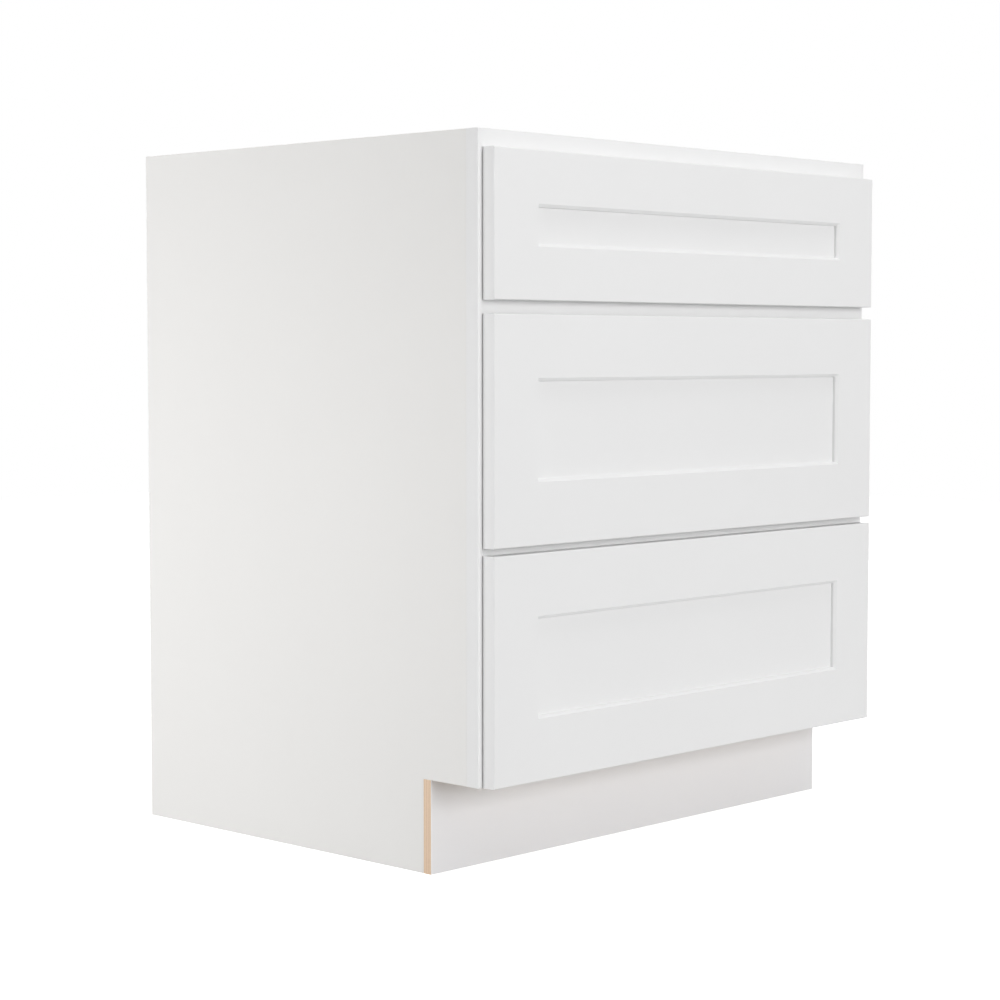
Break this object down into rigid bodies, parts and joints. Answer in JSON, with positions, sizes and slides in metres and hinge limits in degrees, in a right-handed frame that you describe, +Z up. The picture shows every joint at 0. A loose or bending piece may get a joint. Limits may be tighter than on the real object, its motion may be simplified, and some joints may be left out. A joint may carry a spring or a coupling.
{
  "type": "kitchen base cabinet with drawers",
  "caption": "White framed base cabinet with stacked flat-panel drawers on full-extension undermount runners, a recessed toe space and an open top for a worktop.",
  "frame": {"origin": "on the floor, under the centre of the cabinet's box with its drawers closed", "axes": "+X to the right seen from the front, +Y from the front to the back, +Z up; the drawer fronts face -Y"},
  "size_m": [0.762, 0.6292, 0.8763],
  "materials": {
    "case_paint": "satin white paint on plywood and hardwood, raw plywood on cut ends",
    "front_paint": "satin white paint",
    "case_plywood": "clear-coated birch plywood",
    "box_wood": "clear-coated solid birch, dovetailed",
    "box_plywood": "clear-coated birch plywood",
    "zinc_steel": "zinc-plated sheet steel",
    "zinc_screws": "zinc-plated steel",
    "nylon": "natural nylon",
    "moulded_plastic": "grey moulded plastic",
    "lever_plastic": "dark grey moulded plastic",
    "clear_pads": "clear soft polyurethane"
  },
  "bodies": {
    "cabinet": {"left_side_panel": "case_paint", "right_side_panel": "case_paint", "toe_board": "case_paint", "frame_left_stile": "case_paint", "frame_right_stile": "case_paint", "frame_top_rail": "case_paint", "frame_middle_rails": "case_paint", "frame_bottom_rail": "case_paint", "floor_panel": "case_plywood", "back_panel": "case_plywood", "corner_braces": "moulded_plastic", "assembly_screws": "zinc_screws", "bumper_pads": "clear_pads", "cabinet_runners": "zinc_steel", "rear_brackets": "moulded_plastic"},
    "top_drawer": {"top_front_stiles": "front_paint", "top_front_rails": "front_paint", "top_front_panel": "front_paint", "top_box_left_side": "box_wood", "top_box_right_side": "box_wood", "top_box_front": "box_wood", "top_box_back": "box_wood", "top_box_bottom": "box_plywood", "top_drawer_runners": "zinc_steel", "top_lock_clips": "moulded_plastic", "top_drawer_screws": "zinc_screws"},
    "top_intermediates": {"top_intermediate_runners": "zinc_steel", "top_roller_cages": "nylon"},
    "top_left_lever": {"top_left_release_lever": "lever_plastic"},
    "top_right_lever": {"top_right_release_lever": "lever_plastic"},
    "middle_drawer": {"middle_front_stiles": "front_paint", "middle_front_rails": "front_paint", "middle_front_panel": "front_paint", "middle_box_left_side": "box_wood", "middle_box_right_side": "box_wood", "middle_box_front": "box_wood", "middle_box_back": "box_wood", "middle_box_bottom": "box_plywood", "middle_drawer_runners": "zinc_steel", "middle_lock_clips": "moulded_plastic", "middle_drawer_screws": "zinc_screws"},
    "middle_intermediates": {"middle_intermediate_runners": "zinc_steel", "middle_roller_cages": "nylon"},
    "middle_left_lever": {"middle_left_release_lever": "lever_plastic"},
    "middle_right_lever": {"middle_right_release_lever": "lever_plastic"},
    "bottom_drawer": {"bottom_front_stiles": "front_paint", "bottom_front_rails": "front_paint", "bottom_front_panel": "front_paint", "bottom_box_left_side": "box_wood", "bottom_box_right_side": "box_wood", "bottom_box_front": "box_wood", "bottom_box_back": "box_wood", "bottom_box_bottom": "box_plywood", "bottom_drawer_runners": "zinc_steel", "bottom_lock_clips": "moulded_plastic", "bottom_drawer_screws": "zinc_screws"},
    "bottom_intermediates": {"bottom_intermediate_runners": "zinc_steel", "bottom_roller_cages": "nylon"},
    "bottom_left_lever": {"bottom_left_release_lever": "lever_plastic"},
    "bottom_right_lever": {"bottom_right_release_lever": "lever_plastic"}
  },
  "joints": [
    {"name": "top_drawer_slide", "type": "slide", "parent": "cabinet", "child": "top_drawer", "axis": [0, -1, 0], "range_m": [0, 0.508]},
    {"name": "top_intermediate_slide", "type": "slide", "parent": "cabinet", "child": "top_intermediates", "axis": [0, -1, 0], "range_m": [0, 0.254]},
    {"name": "top_left_lever_turn", "type": "hinge", "parent": "top_drawer", "child": "top_left_lever", "pos_m": [-0.2763, -0.26055, 0.7071], "axis": [0, 0, -1], "range_deg": [0, 14], "stiffness_Nm_per_rad": 0.05},
    {"name": "top_right_lever_turn", "type": "hinge", "parent": "top_drawer", "child": "top_right_lever", "pos_m": [0.2763, -0.26055, 0.7071], "axis": [0, 0, 1], "range_deg": [0, 14], "stiffness_Nm_per_rad": 0.05},
    {"name": "middle_drawer_slide", "type": "slide", "parent": "cabinet", "child": "middle_drawer", "axis": [0, -1, 0], "range_m": [0, 0.508]},
    {"name": "middle_intermediate_slide", "type": "slide", "parent": "cabinet", "child": "middle_intermediates", "axis": [0, -1, 0], "range_m": [0, 0.254]},
    {"name": "middle_left_lever_turn", "type": "hinge", "parent": "middle_drawer", "child": "middle_left_lever", "pos_m": [-0.2763, -0.26055, 0.42375], "axis": [0, 0, -1], "range_deg": [0, 14], "stiffness_Nm_per_rad": 0.05},
    {"name": "middle_right_lever_turn", "type": "hinge", "parent": "middle_drawer", "child": "middle_right_lever", "pos_m": [0.2763, -0.26055, 0.42375], "axis": [0, 0, 1], "range_deg": [0, 14], "stiffness_Nm_per_rad": 0.05},
    {"name": "bottom_drawer_slide", "type": "slide", "parent": "cabinet", "child": "bottom_drawer", "axis": [0, -1, 0], "range_m": [0, 0.508]},
    {"name": "bottom_intermediate_slide", "type": "slide", "parent": "cabinet", "child": "bottom_intermediates", "axis": [0, -1, 0], "range_m": [0, 0.254]},
    {"name": "bottom_left_lever_turn", "type": "hinge", "parent": "bottom_drawer", "child": "bottom_left_lever", "pos_m": [-0.2763, -0.26055, 0.16745], "axis": [0, 0, -1], "range_deg": [0, 14], "stiffness_Nm_per_rad": 0.05},
    {"name": "bottom_right_lever_turn", "type": "hinge", "parent": "bottom_drawer", "child": "bottom_right_lever", "pos_m": [0.2763, -0.26055, 0.16745], "axis": [0, 0, 1], "range_deg": [0, 14], "stiffness_Nm_per_rad": 0.05}
  ],
  "couplings": [
    {"joint": "top_intermediate_slide", "follows": "top_drawer_slide", "ratio": 0.5},
    {"joint": "middle_intermediate_slide", "follows": "middle_drawer_slide", "ratio": 0.5},
    {"joint": "bottom_intermediate_slide", "follows": "bottom_drawer_slide", "ratio": 0.5}
  ]
}
